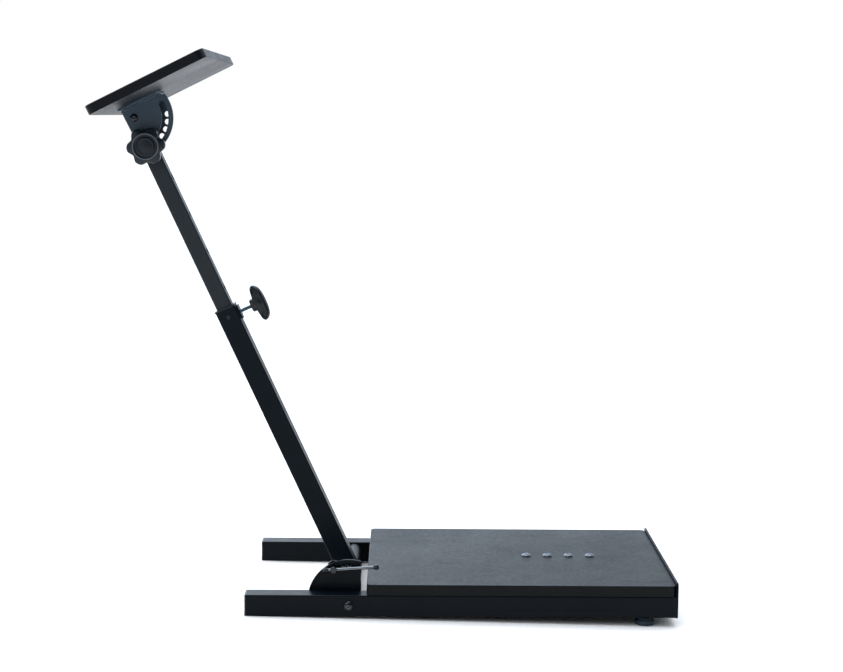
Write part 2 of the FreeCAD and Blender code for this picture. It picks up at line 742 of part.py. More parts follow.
# ============================================================ tilt head
def bracket_plate():
    width = BRACKET_RIGHT - BRACKET_LEFT
    plate = rounded_bar(width, BRACKET_WIDTH, 4.0, BRACKET_T)
    plate = moved(plate, BRACKET_LEFT + width / 2, MID_Y, BRACKET_B)
    for a, y in table_bolt_places():
        plate = plate.cut(rod(M6_THREAD_R, V(a, y, 0), V(a, y, BRACKET_B + BRACKET_T + 1)))
    return on_head(plate)


def cheek_blank(y0, radius):
    """A quadrant plate with a straight left edge and a clipped upper corner."""
    corner = math.asin(CHEEK_CORNER_B / radius)
    low = math.acos(CHEEK_LEFT / radius)
    top_left = V(CHEEK_LEFT, y0, BRACKET_B)
    top_right = V(radius - CHEEK_TOP_CLIP, y0, BRACKET_B)
    rim_top = polar(radius, math.degrees(corner), y0)
    rim_middle = polar(radius, math.degrees(corner - low) / 2, y0)
    rim_low = polar(radius, -math.degrees(low), y0)
    edges = [
        Part.LineSegment(top_left, top_right),
        Part.LineSegment(top_right, rim_top),
        Part.Arc(rim_top, rim_middle, rim_low),
        Part.LineSegment(rim_low, top_left),
    ]
    plate = Part.Face(Part.Wire([edge.toShape() for edge in edges])).extrude(V(0, CHEEK_T, 0))
    return plate.cut(y_rod(M6_R + 0.1, 0, 0, y0, y0 + CHEEK_T))


def polar(radius, degrees, y):
    angle = math.radians(degrees)
    return V(radius * math.cos(angle), y, radius * math.sin(angle))


def arc_slot(y0, y1):
    """The curved slot that the star knob's bolt travels in."""
    outer, inner = CLAMP_R + SLOT_HALF, CLAMP_R - SLOT_HALF
    middle = (SLOT_START + SLOT_END) / 2
    edges = [
        Part.Arc(polar(outer, SLOT_START, y0), polar(outer, middle, y0), polar(outer, SLOT_END, y0)),
        Part.LineSegment(polar(outer, SLOT_END, y0), polar(inner, SLOT_END, y0)),
        Part.Arc(polar(inner, SLOT_END, y0), polar(inner, middle, y0), polar(inner, SLOT_START, y0)),
        Part.LineSegment(polar(inner, SLOT_START, y0), polar(outer, SLOT_START, y0)),
    ]
    slot = Part.Face(Part.Wire([edge.toShape() for edge in edges])).extrude(V(0, y1 - y0, 0))
    for end in (SLOT_START, SLOT_END):
        centre = polar(CLAMP_R, end, y0)
        slot = slot.fuse(y_rod(SLOT_HALF, centre.x, centre.z, y0, y1))
    return slot


def bracket_cheek_near():
    y0 = MID_Y - cheek_start()
    return on_head(cheek_blank(y0, CHEEK_R_NEAR).cut(arc_slot(y0, y0 + CHEEK_T)))


def bracket_cheek_far():
    y0 = MID_Y + cheek_start() - CHEEK_T
    cheek = cheek_blank(y0, CHEEK_R_FAR)
    for k in range(HEAD_STEPS + 1):
        centre = polar(CLAMP_R, CLAMP_ANGLE + k * HEAD_STEP, y0)
        cheek = cheek.cut(y_rod(KNOB_BOLT_R + 0.3, centre.x, centre.z, y0, y0 + CHEEK_T))
    return on_head(cheek)


def table_bolt_places():
    return [(a, MID_Y + side * TABLE_BOLT_Y) for a in TABLE_BOLT_A for side in (-1, 1)]


def countersink(a, y, top, radius):
    depth = radius - M6_R
    return Part.makeCone(M6_R, radius, depth, V(a, y, top - depth), Z_AXIS)


def wheel_table():
    panel = softened_panel(TABLE_WIDTH, TABLE_LENGTH, TABLE_T, TABLE_CORNER)
    base = BRACKET_B + BRACKET_T
    panel = moved(panel, TABLE_LEFT + TABLE_WIDTH / 2, MID_Y, base)
    top = base + TABLE_T
    for a, y in table_bolt_places():
        panel = panel.cut(rod(M6_R + 0.2, V(a, y, base - 1), V(a, y, top + 1)))
        panel = panel.cut(countersink(a, y, top, 6.4))
    return on_head(panel)


def table_bolts():
    top = BRACKET_B + BRACKET_T + TABLE_T
    bolts = []
    for a, y in table_bolt_places():
        head = countersink(a, y, top, 6.0)
        head = head.cut(moved(cross_recess(6.0, 2.0, 0), a, y, top))
        shank = rod(M6_R, V(a, y, BRACKET_B - TABLE_BOLT_TIP), V(a, y, top - 3))
        bolts.append(on_head(head.fuse(shank)))
    return group(bolts)


# ================================================================ export
NODES = {
    "rail_near": lambda: rail(RAIL_STARTS[0]),
    "rail_far": lambda: rail(RAIL_STARTS[1]),
    "rail_plugs": lambda: group([rail_plug(y0) for y0 in RAIL_STARTS]),
    "cross_tube_front": lambda: cross_tube(CROSS_TUBE_STARTS[0]),
    "cross_tube_rear": lambda: cross_tube(CROSS_TUBE_STARTS[1]),
    "centre_strap": centre_strap,
    "strap_nuts": strap_nuts,
    "pedal_board": pedal_board,
    "board_screws": board_screws,
    "end_stop": end_stop,
    "index_quadrant": index_quadrant,
    "pivot_bolts": pivot_bolts,
    "pivot_washers": pivot_washers,
    "foot_nuts": foot_nuts,
    "foot_near_pad": lambda: foot_pad(RAIL_STARTS[0]),
    "foot_near_stud": lambda: foot_stud(RAIL_STARTS[0]),
    "foot_far_pad": lambda: foot_pad(RAIL_STARTS[1]),
    "foot_far_stud": lambda: foot_stud(RAIL_STARTS[1]),
    "lock_screw": lock_screw,
    "tommy_bar": tommy_bar,
    "tommy_bar_balls": tommy_bar_balls,
    "pivot_tube": pivot_tube,
    "pivot_tube_inserts": pivot_tube_inserts,
    "lock_arm": lock_arm,
    "lock_arm_nut": lock_arm_nut,
    "outer_tube": outer_tube,
    "guide_sleeve": guide_sleeve,
    "clamp_boss": clamp_boss,
    "wing_stud": wing_stud,
    "wing_knob": wing_knob,
    "inner_tube": inner_tube,
    "inner_tube_cap": inner_tube_cap,
    "inner_tube_glide": inner_tube_glide,
    "head_pivot_bolt": head_pivot_bolt,
    "head_pivot_nut": head_pivot_nut,
    "head_pivot_spacer": head_pivot_spacer,
    "clamp_nut": clamp_nut,
    "star_knob": placed_star_knob,
    "star_knob_bolt": star_knob_bolt,
    "star_knob_washer": star_knob_washer,
    "bracket_plate": bracket_plate,
    "bracket_cheek_near": bracket_cheek_near,
    "bracket_cheek_far": bracket_cheek_far,
    "wheel_table": wheel_table,
    "table_bolts": table_bolts,
}


def main():
    os.makedirs("parts", exist_ok=True)
    for name, make in NODES.items():
        to_floor(make()).exportStep(os.path.join("parts", name + ".step"))


if __name__ == "__main__":
    main()
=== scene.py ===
import bmesh
import bpy
import json
import math
from mathutils import Matrix, Vector


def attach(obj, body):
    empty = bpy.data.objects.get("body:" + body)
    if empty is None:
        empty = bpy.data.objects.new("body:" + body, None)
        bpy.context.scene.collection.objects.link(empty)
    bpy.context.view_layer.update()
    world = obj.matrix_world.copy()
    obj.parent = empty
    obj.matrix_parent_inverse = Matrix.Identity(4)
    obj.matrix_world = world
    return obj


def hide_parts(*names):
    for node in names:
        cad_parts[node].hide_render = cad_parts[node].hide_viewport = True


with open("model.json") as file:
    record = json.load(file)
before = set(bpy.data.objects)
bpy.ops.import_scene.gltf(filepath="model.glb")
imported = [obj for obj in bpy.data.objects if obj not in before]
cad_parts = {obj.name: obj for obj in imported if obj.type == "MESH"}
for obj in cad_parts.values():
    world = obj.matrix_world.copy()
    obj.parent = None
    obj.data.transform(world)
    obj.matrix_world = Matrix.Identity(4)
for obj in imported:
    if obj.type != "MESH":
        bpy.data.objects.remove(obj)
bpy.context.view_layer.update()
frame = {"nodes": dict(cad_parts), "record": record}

MM = 0.001

# ------------------------------------------------------------------ frames
# The stand is drawn in a base frame in millimetres: X along the rails from
# their left ends, Y from the near rail's outer face, Z from the rails' underside.
# The mast frame stands on the mast pivot and the head frame on the head pivot.
BASE_WIDTH = 355.0
BASE_LENGTH = 644.0
TUBE = 32.0
MID_Y = BASE_WIDTH / 2
REST_TILT = math.atan(13.0 / 582.5)
MAST_LEAN = math.radians(24.95)
PIVOT_X = 154.0
PIVOT_Z = TUBE / 2
HEAD_S = 788.6
HEAD_TILT = math.radians(26.56)
TABLE_LEFT = -30.4
TABLE_TOP = 33.1
CLAMP_S = 453.0
CLAMP_R = 47.2
CLAMP_ANGLE = math.radians(-91.2)

TIP = Matrix.Rotation(-REST_TILT, 4, "Y")
HEAD_PIVOT = Vector((PIVOT_X - HEAD_S * math.sin(MAST_LEAN), 0, PIVOT_Z + HEAD_S * math.cos(MAST_LEAN)))
TO_HEAD = Matrix.Translation(HEAD_PIVOT) @ Matrix.Rotation(-HEAD_TILT, 4, "Y")
LOW_CORNER = TIP @ TO_HEAD @ Vector((TABLE_LEFT, 0, TABLE_TOP - 1.2))
HIGH_CORNER = TIP @ Vector((BASE_LENGTH, 0, 0))
MIDDLE_X = (LOW_CORNER.x + HIGH_CORNER.x) / 2

BASE = Matrix.Scale(MM, 4) @ Matrix.Translation((-MIDDLE_X, -MID_Y, 0)) @ TIP
MAST = BASE @ Matrix.Translation((PIVOT_X, 0, PIVOT_Z)) @ Matrix.Rotation(-MAST_LEAN, 4, "Y")
HEAD = BASE @ TO_HEAD


# ------------------------------------------------------------------ nodes
class Tree:
    """Short calls for building one material's nodes."""

    def __init__(self, name):
        self.material = bpy.data.materials.new(name)
        self.material.use_nodes = True
        self.nodes = self.material.node_tree.nodes
        self.links = self.material.node_tree.links
        self.nodes.clear()
        self.output = self.nodes.new("ShaderNodeOutputMaterial")
        self.shader = self.nodes.new("ShaderNodeBsdfPrincipled")
        self.links.new(self.shader.outputs["BSDF"], self.output.inputs["Surface"])
        self.place = self.nodes.new("ShaderNodeTexCoord").outputs["Object"]

    def put(self, socket, value):
        if isinstance(value, bpy.types.NodeSocket):
            self.links.new(value, socket)
        else:
            socket.default_value = value

    def noise(self, scale, detail=2.0, rough=0.5, stretch=(1, 1, 1)):
        mapping = self.nodes.new("ShaderNodeMapping")
        mapping.inputs["Scale"].default_value = stretch
        self.links.new(self.place, mapping.inputs["Vector"])
        node = self.nodes.new("ShaderNodeTexNoise")
        node.inputs["Scale"].default_value = scale
        node.inputs["Detail"].default_value = detail
        node.inputs["Roughness"].default_value = rough
        self.links.new(mapping.outputs["Vector"], node.inputs["Vector"])
        return node.outputs["Fac"]

    def cells(self, scale):
        node = self.nodes.new("ShaderNodeTexVoronoi")
        node.inputs["Scale"].default_value = scale
        self.links.new(self.place, node.inputs["Vector"])
        return node.outputs["Distance"]

    def ranged(self, value, low, high, to_low=0.0, to_high=1.0):
        node = self.nodes.new("ShaderNodeMapRange")
        node.inputs["From Min"].default_value = low
        node.inputs["From Max"].default_value = high
        node.inputs["To Min"].default_value = to_low
        node.inputs["To Max"].default_value = to_high
        self.links.new(value, node.inputs["Value"])
        return node.outputs["Result"]

    def math(self, operation, first, second):
        node = self.nodes.new("ShaderNodeMath")
        node.operation = operation
        self.put(node.inputs[0], first)
        self.put(node.inputs[1], second)
        return node.outputs["Value"]

    def mix(self, factor, first, second):
        node = self.nodes.new("ShaderNodeMix")
        node.data_type = "RGBA"
        self.put(node.inputs["Factor"], factor)
        self.put(node.inputs["A"], first)
        self.put(node.inputs["B"], second)
        return node.outputs["Result"]

    def rounded(self, radius):
        node = self.nodes.new("ShaderNodeBevel")
        node.samples = 4
        node.inputs["Radius"].default_value = radius
        return node.outputs["Normal"]

    def facing_side(self):
        """1 where the surface looks along Y, and 0 where it looks up or down: the mask for painted shade."""
        split = self.nodes.new("ShaderNodeSeparateXYZ")
        self.links.new(self.nodes.new("ShaderNodeNewGeometry").outputs["Normal"], split.inputs["Vector"])
        return self.ranged(self.math("ABSOLUTE", split.outputs["Y"], 0.0), 0.6, 0.9)

    def edges(self, soft_normal):
        """About 1 on sharp edges and 0 on flat faces."""
        sharp = self.nodes.new("ShaderNodeNewGeometry").outputs["Normal"]
        dot = self.nodes.new("ShaderNodeVectorMath")
        dot.operation = "DOT_PRODUCT"
        self.links.new(soft_normal, dot.inputs[0])
        self.links.new(sharp, dot.inputs[1])
        return self.ranged(dot.outputs["Value"], 0.995, 0.86)

    def bump(self, height, strength, distance, normal=None):
        node = self.nodes.new("ShaderNodeBump")
        node.inputs["Strength"].default_value = strength
        node.inputs["Distance"].default_value = distance
        self.links.new(height, node.inputs["Height"])
        if normal is not None:
            self.links.new(normal, node.inputs["Normal"])
        return node.outputs["Normal"]

    def finish(self, colour, roughness, normal, metallic=0.0, specular=0.5):
        self.put(self.shader.inputs["Base Color"], colour)
        self.put(self.shader.inputs["Roughness"], roughness)
        self.put(self.shader.inputs["Normal"], normal)
        self.shader.inputs["Metallic"].default_value = metallic
        self.shader.inputs["Specular IOR Level"].default_value = specular
        return self.material


def grey(value, cool=0.50):
    """A grey, by default a cool one: less red and more blue."""
    return (value * (1 - cool), value, value * (1 + cool), 1.0)


def powder_coat(name, dark, light, rough, specular, edge_radius=0.0007):
    """Satin powder coat: fine orange peel, cloudy gloss, paler rubbed edges."""
    tree = Tree(name)
    soft = tree.rounded(edge_radius)
    pale_edge_mask = tree.math("MULTIPLY", tree.edges(soft), tree.ranged(tree.noise(55, 4, 0.7), 0.42, 0.66))
    cloud = tree.noise(14, 4, 0.6)
    colour = tree.mix(cloud, grey(dark), grey(light))
    colour = tree.mix(tree.math("MULTIPLY", pale_edge_mask, 0.55), colour, grey(0.075))
    scuffs = tree.ranged(tree.noise(160, 5, 0.75, (0.35, 1, 1)), 0.60, 0.78)
    gloss = tree.ranged(tree.noise(32, 3, 0.55), 0.3, 0.7, rough - 0.045, rough + 0.045)
    gloss = tree.math("ADD", gloss, tree.math("MULTIPLY", scuffs, 0.06))
    normal = tree.bump(tree.noise(950, 2, 0.5), 0.12, 0.00035, soft)
    return tree.finish(colour, gloss, normal, specular=specular)


def textured_board(name, dark, light, rough, specular):
    """Black laminate with a fine pearl grain, a few dull handling marks, and painted shade on the faces that
    look along Y.
    """
    tree = Tree(name)
    soft = tree.rounded(0.0006)
    pale_edge_mask = tree.math("MULTIPLY", tree.edges(soft), tree.ranged(tree.noise(60, 4, 0.7), 0.44, 0.62))
    cloud = tree.noise(5.5, 5, 0.62)
    speck = tree.ranged(tree.noise(1900, 2, 0.6), 0.58, 0.74)
    colour = tree.mix(cloud, grey(dark), grey(light))
    colour = tree.mix(tree.math("MULTIPLY", speck, 0.35), colour, grey(light * 2.2))
    # Painted shade: faces that look along Y are darkened almost to black, to suit how light falls on them.
    colour = tree.mix(tree.math("MULTIPLY", tree.facing_side(), 0.85), colour, grey(0.0008))
    colour = tree.mix(tree.math("MULTIPLY", pale_edge_mask, 0.5), colour, grey(0.07))
    marks = tree.ranged(tree.noise(38, 6, 0.78, (0.5, 1.0, 1.0)), 0.56, 0.74)
    gloss = tree.ranged(tree.noise(9, 4, 0.6), 0.3, 0.7, rough - 0.04, rough + 0.04)
    gloss = tree.math("ADD", gloss, tree.math("MULTIPLY", marks, 0.07))
    mottle = tree.ranged(tree.noise(170, 6, 0.85), 0.35, 0.65, -0.07, 0.07)
    gloss = tree.math("ADD", gloss, mottle)
    grain = tree.math("ADD", tree.cells(1250), tree.noise(2100, 3, 0.6))
    normal = tree.bump(grain, 0.22, 0.0004, soft)
    return tree.finish(colour, gloss, normal, specular=specular)


def moulded_plastic(name, dark, light, rough, edge_radius=0.0005):
    """Moulded nylon: spark-eroded grain, faint handling polish, and paler sharp edges as a painted
    highlight.
    """
    tree = Tree(name)
    soft = tree.rounded(edge_radius)
    pale_edge_mask = tree.edges(soft)
    colour = tree.mix(tree.noise(45, 3, 0.6), grey(dark), grey(light))
    # Painted highlight: sharp edges are lightened to stand in for light catching them.
    colour = tree.mix(tree.math("MULTIPLY", pale_edge_mask, 0.6), colour, grey(light * 2.0))
    gloss = tree.ranged(tree.noise(70, 4, 0.6), 0.3, 0.7, rough - 0.07, rough + 0.07)
    normal = tree.bump(tree.noise(1700, 3, 0.6), 0.16, 0.0003, soft)
    return tree.finish(colour, gloss, normal, specular=0.30)


def knob_plastic(name, centre):
    """Moulded nylon: a painted highlight on the raised ring, painted shade on the dished cap inside it, and
    paler sharp edges as a painted highlight.
    """
    tree = Tree(name)
    soft = tree.rounded(0.0005)
    away = tree.nodes.new("ShaderNodeVectorMath")
    away.operation = "DISTANCE"
    tree.links.new(tree.place, away.inputs[0])
    away.inputs[1].default_value = centre
    reach = away.outputs["Value"]
    dish = tree.ranged(reach, 0.0178, 0.0172)
    ring = tree.math("MULTIPLY", tree.ranged(reach, 0.0180, 0.0186), tree.ranged(reach, 0.0205, 0.0198))
    colour = tree.mix(tree.noise(45, 3, 0.6), grey(0.006), grey(0.011))
    # Painted shade: the dished cap inside the ring is darker, as shade in a recess.
    colour = tree.mix(dish, colour, tree.mix(tree.noise(60, 3, 0.6), grey(0.003), grey(0.007)))
    # Painted highlight: a pale band on the raised ring, where light glints on its rounded top.
    colour = tree.mix(tree.math("MULTIPLY", ring, 0.85), colour, grey(0.11, 0.10))
    # Painted highlight: sharp edges are paler, as light catching them.
    colour = tree.mix(tree.math("MULTIPLY", tree.edges(soft), 0.25), colour, grey(0.03, 0.10))
    gloss = tree.ranged(tree.noise(70, 4, 0.6), 0.3, 0.7, 0.26, 0.38)
    normal = tree.bump(tree.noise(1700, 3, 0.6), 0.16, 0.0003, soft)
    return tree.finish(colour, gloss, normal, specular=0.30)


def bright_zinc(name):
    """Zinc-plated steel: soft cloudy plating with fine turning marks."""
    tree = Tree(name)
    soft = tree.rounded(0.0003)
    colour = tree.mix(tree.noise(110, 4, 0.65), (0.09, 0.14, 0.17, 1), (0.22, 0.29, 0.34, 1))
    stain = tree.ranged(tree.noise(38, 5, 0.7), 0.55, 0.72)
    colour = tree.mix(tree.math("MULTIPLY", stain, 0.4), colour, (0.10, 0.12, 0.14, 1))
    gloss = tree.ranged(tree.noise(150, 4, 0.7), 0.3, 0.7, 0.12, 0.26)
    normal = tree.bump(tree.noise(900, 3, 0.6, (1, 1, 4)), 0.10, 0.0002, soft)
    return tree.finish(colour, gloss, normal, metallic=1.0)


def black_oxide(name):
    """Blackened steel screws with bright rubbed rims."""
    tree = Tree(name)
    soft = tree.rounded(0.0004)
    pale_edge_mask = tree.math("MULTIPLY", tree.edges(soft), tree.ranged(tree.noise(240, 4, 0.7), 0.36, 0.60))
    colour = tree.mix(tree.noise(120, 4, 0.6), grey(0.022, 0.08), grey(0.050, 0.08))
    colour = tree.mix(pale_edge_mask, colour, grey(0.26, 0.05))
    gloss = tree.ranged(tree.noise(210, 3, 0.6), 0.3, 0.7, 0.09, 0.20)
    normal = tree.bump(tree.noise(1400, 2, 0.5), 0.10, 0.0002, soft)
    return tree.finish(colour, gloss, normal, metallic=1.0)


def bright_screw(name, dark, light):
    """Polished dark nickel: cloudy gloss with a few dull spots."""
    tree = Tree(name)
    soft = tree.rounded(0.0003)
    colour = tree.mix(tree.noise(260, 4, 0.65), grey(dark, 0.05), grey(light, 0.05))
    pale_edge_mask = tree.math("MULTIPLY", tree.edges(soft), tree.ranged(tree.noise(300, 4, 0.7), 0.36, 0.60))
    colour = tree.mix(pale_edge_mask, colour, grey(0.70))
    gloss = tree.ranged(tree.noise(240, 3, 0.6), 0.3, 0.7, 0.14, 0.30)
    normal = tree.bump(tree.noise(1500, 2, 0.5), 0.08, 0.0002, soft)
    return tree.finish(colour, gloss, normal, metallic=1.0)


def foot_rubber(name):
    """Matt rubber with dusty edges."""
    tree = Tree(name)
    soft = tree.rounded(0.0006)
    dust = tree.ranged(tree.noise(85, 5, 0.7), 0.48, 0.72)
    colour = tree.mix(tree.noise(40, 3, 0.6), grey(0.018), grey(0.030))
    colour = tree.mix(tree.math("MULTIPLY", dust, 0.25), colour, grey(0.075, -0.05))
    gloss = tree.ranged(tree.noise(60, 3, 0.6), 0.3, 0.7, 0.62, 0.82)
    normal = tree.bump(tree.noise(1200, 4, 0.65), 0.30, 0.0004, soft)
    return tree.finish(colour, gloss, normal, specular=0.35)


LOOKS = {
    "powder_black": powder_coat("stand_powder_coat", 0.0022, 0.0040, 0.34, 0.085),
    "board_black": textured_board("stand_textured_board", 0.0035, 0.0065, 0.42, 0.13),
    "knob_black": moulded_plastic("stand_moulded_plastic", 0.0025, 0.005, 0.28),
    "zinc": bright_zinc("stand_bright_zinc"),
    "black_screw": black_oxide("stand_black_oxide"),
    "foot_rubber": foot_rubber("stand_foot_rubber"),
}

BRIGHT_SCREW = bright_screw("stand_bright_screw", 0.05, 0.20)
# One black paint. Its colour and reflection differ from part to part as painted light and shade, to suit the
# light of a single view.
UPPER_COAT_PAINTED_LIGHT = powder_coat("stand_powder_coat_upper_painted_light", 0.005, 0.008, 0.40, 0.30)
HEAD_COAT_PAINTED_LIGHT = powder_coat("stand_powder_coat_head_painted_light", 0.028, 0.044, 0.38, 0.42)
MAST_COAT_PAINTED_LIGHT = powder_coat("stand_powder_coat_mast_painted_light", 0.0034, 0.0064, 0.38, 0.075)
NODE_LOOKS = {
    "inner_tube": UPPER_COAT_PAINTED_LIGHT,
    "bracket_cheek_near": HEAD_COAT_PAINTED_LIGHT,
    "bracket_cheek_far": HEAD_COAT_PAINTED_LIGHT,
    "bracket_plate": HEAD_COAT_PAINTED_LIGHT,
    "outer_tube": MAST_COAT_PAINTED_LIGHT,
    "clamp_boss": MAST_COAT_PAINTED_LIGHT,
    # Painted shade: the end stop gets a copy of the paint that reflects less.
    "end_stop": powder_coat("stand_powder_coat_stop_painted_shade", 0.0022, 0.0040, 0.34, 0.060),
    "tommy_bar": bright_screw("stand_polished_bar", 0.11, 0.20),
    "guide_sleeve": moulded_plastic("stand_sleeve_plastic", 0.005, 0.008, 0.45),
}

for part in frame["record"]["subparts"]:
    node = frame["nodes"][part["node"]]
    look = NODE_LOOKS.get(part["node"], LOOKS[part["material_slot"]])
    if not node.material_slots:
        node.data.materials.append(look)
    for slot in node.material_slots:
        slot.material = look


# ------------------------------------------------------------------ meshes
class Skin:
    """Collects one piece's faces in a local frame, in millimetres."""

    def __init__(self):
        self.points = []
        self.faces = []

    def loft(self, rings):
        """Join rings of equally many points, each closed on itself, and cap both ends."""
        first = len(self.points)
        count = len(rings[0])
        for ring in rings:
            self.points += [Vector(point) for point in ring]
        spans = len(rings) - 1
        for k in range(spans):
            for i in range(count):
                a = first + k * count + i
                b = first + k * count + (i + 1) % count
                self.faces.append((a, b, b + count, a + count))
        last = first + spans * count
        self.faces.append(tuple(reversed(range(first, first + count))))
        self.faces.append(tuple(range(last, last + count)))

    def add(self, other, matrix):
        first = len(self.points)
        self.points += [matrix @ point for point in other.points]
        self.faces += [tuple(first + i for i in face) for face in other.faces]


def piece(name, skin, frame_matrix, body, nodes, look, sharp=32.0):
    """Make one visual piece, ride it on its body and hide the parts it replaces."""
    mesh = bpy.data.meshes.new(name)
    points = [frame_matrix @ point for point in skin.points]
    mesh.from_pydata([tuple(point) for point in points], [], skin.faces)
    work = bmesh.new()
    work.from_mesh(mesh)
    bmesh.ops.recalc_face_normals(work, faces=work.faces)
    work.to_mesh(mesh)
    work.free()
    mesh.shade_smooth()
    mesh.set_sharp_from_angle(angle=math.radians(sharp))
    made = bpy.data.objects.new(name, mesh)
    bpy.context.collection.objects.link(made)
    made.data.materials.append(look)
    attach(made, body)
    if nodes:
        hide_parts(*nodes)
    return made


def softened(line, reach, steps=4):
    """A polyline of (r, z) pairs with its inner corners turned to short arcs."""
    line = [Vector(point) for point in line]
    out = [line[0]]
    for before, corner, after in zip(line, line[1:], line[2:]):
        back, ahead = before - corner, after - corner
        cut = min(reach, back.length * 0.45, ahead.length * 0.45)
        start = corner + back.normalized() * cut
        end = corner + ahead.normalized() * cut
        for k in range(steps + 1):
            t = k / steps
            out.append(start * (1 - t) ** 2 + corner * 2 * t * (1 - t) + end * t * t)
    out.append(line[-1])
    return out


def circle(radius, z, count=48):
    turns = [2 * math.pi * k / count for k in range(count)]
    return [(radius * math.cos(turn), radius * math.sin(turn), z) for turn in turns]


def turned(profile, reach=0.4, count=48):
    """A turned part about +Z from a line of (r, z) pairs."""
    skin = Skin()
    skin.loft([circle(max(r, 0.02), z, count) for r, z in softened(profile, reach)])
    return skin


def thread(radius, pitch, start, end, count=28, rows=7):
    """A screw thread along +Z between two heights, its ends turned down."""
    rings = []
    depth = pitch * 0.58
    steps = int((end - start) / pitch * rows)
    for k in range(steps + 1):
        z = start + (end - start) * k / steps
        edge = min(z - start, end - z)
        taper = max(0.0, 1 - edge / pitch) * depth * 0.8
        ring = []
        for i in range(count):
            turn = 2 * math.pi * i / count
            phase = (z / pitch - i / count) % 1.0
            crest = 1 - abs(2 * phase - 1)
            profile = min(1.0, max(0.0, crest * 1.35 - 0.12))
            r = radius - depth * (1 - profile) - taper
            ring.append((r * math.cos(turn), r * math.sin(turn), z))
        rings.append(ring)
    skin = Skin()
    skin.loft(rings)
    return skin


def weld(points, radius, ripple=1.9, step=0.5, sides=10):
    """A rippled weld bead along a line of points."""
    points = [Vector(point) for point in points]
    stations = []
    for start, end in zip(points, points[1:]):
        span = (end - start).length
        count = max(2, round(span / step))
        stations += [start.lerp(end, k / count) for k in range(count)]
    stations.append(points[-1])
    rings = []
    travelled = 0.0
    for k, centre in enumerate(stations):
        ahead = stations[min(k + 1, len(stations) - 1)] - stations[max(k - 1, 0)]
        ahead.normalize()
        side = ahead.orthogonal().normalized() if k == 0 else (side - ahead * side.dot(ahead)).normalized()
        above = ahead.cross(side)
        if k:
            travelled += (centre - stations[k - 1]).length
        wave = (travelled / ripple) % 1.0
        end_fade = min(1.0, 0.45 + 0.3 * min(k, len(stations) - 1 - k))
        r = radius * end_fade * (0.88 + 0.16 * math.sin(math.pi * wave))
        wander = 0.10 * radius * math.sin(travelled * 0.9 + radius * 7)
        ring = []
        for i in range(sides):
            turn = 2 * math.pi * i / sides
            ring.append(centre + side * (r * math.cos(turn) + wander) + above * (r * math.sin(turn)))
        rings.append(ring)
    skin = Skin()
    skin.loft(rings)
    return skin


# -------------------------------------------------------------- knobs
KNOB_R = 29.4
KNOB_VALLEY_R = 23.8
KNOB_CORNER_R = 28.5
KNOB_LOBE_HALF = 12.0
KNOB_PHASE = -18.0
KNOB_SEAT_Y = MID_Y - 17.5


def star_radius(degrees):
    """The star knob's outline: six crowned lobes joined by hollows."""
    from_lobe = abs((degrees - KNOB_PHASE + 30.0) % 60.0 - 30.0)
    if from_lobe <= KNOB_LOBE_HALF:
        return KNOB_R - (KNOB_R - KNOB_CORNER_R) * (from_lobe / KNOB_LOBE_HALF) ** 2
    share = (30.0 - from_lobe) / (30.0 - KNOB_LOBE_HALF)
    return KNOB_VALLEY_R + (KNOB_CORNER_R - KNOB_VALLEY_R) * share ** 1.4


def star_ring(inset, z, count=240):
    ring = []
    for k in range(count):
        turn = 2 * math.pi * k / count
        r = star_radius(math.degrees(turn)) - inset
        ring.append((r * math.cos(turn), r * math.sin(turn), z))
    return ring


def star_knob():
    """Lobed body with a sloping skirt, a proud ring and a dished cap."""
    hub = [(10.2, 0.0), (11.0, 0.9), (11.0, 8.6), (12.4, 10.0)]
    lobes = [(3.4, 10.0), (1.2, 10.2), (0.35, 11.0), (0.0, 12.2), (0.0, 15.0), (0.0, 18.0),
             (0.0, 20.3), (0.25, 21.1), (0.9, 21.8), (2.0, 22.15)]
    cap = [(21.4, 23.3), (20.1, 23.6), (20.0, 25.9), (18.5, 26.0), (17.9, 24.0), (16.9, 23.2),
           (14.2, 23.3), (13.3, 24.3), (11.6, 24.5), (10.9, 24.1), (7.0, 24.6), (3.0, 24.9), (0.02, 25.0)]
    rings = [circle(r, z, 240) for r, z in hub]
    rings += [star_ring(inset, z) for inset, z in lobes]
    rings += [circle(r, z, 240) for r, z in softened(cap, 0.35, 3)]
    skin = Skin()
    skin.loft(rings)
    return skin


def knob_place():
    """The star knob's axis in the mast frame."""
    angle = CLAMP_ANGLE + HEAD_TILT - MAST_LEAN
    return CLAMP_R * math.cos(angle), HEAD_S + CLAMP_R * math.sin(angle)


def between(table, value):
    """Read a value off a table of (key, value) pairs in rising order."""
    for (low, low_value), (high, high_value) in zip(table, table[1:]):
        if value <= high:
            share = (value - low) / (high - low)
            return low_value + (high_value - low_value) * share
    return table[-1][1]


WING_HALF = 29.0
WING_CROWN = [(0, 62.3), (7, 62.1), (13, 61.6), (18, 60.7), (22, 59.3), (25, 57.4), (27.2, 55.2),
              (28.6, 52.8), (29, 50.8)]
WING_INNER = [(0, 43.0), (9, 43.1), (12, 43.8), (18, 44.7), (23, 45.5), (26, 46.6), (28, 48.1), (29, 49.8)]
WING_WIDTH = [(0, 9.9), (10, 9.6), (20, 9.4), (24, 8.6), (27, 6.4), (28.5, 3.9), (29, 1.6)]


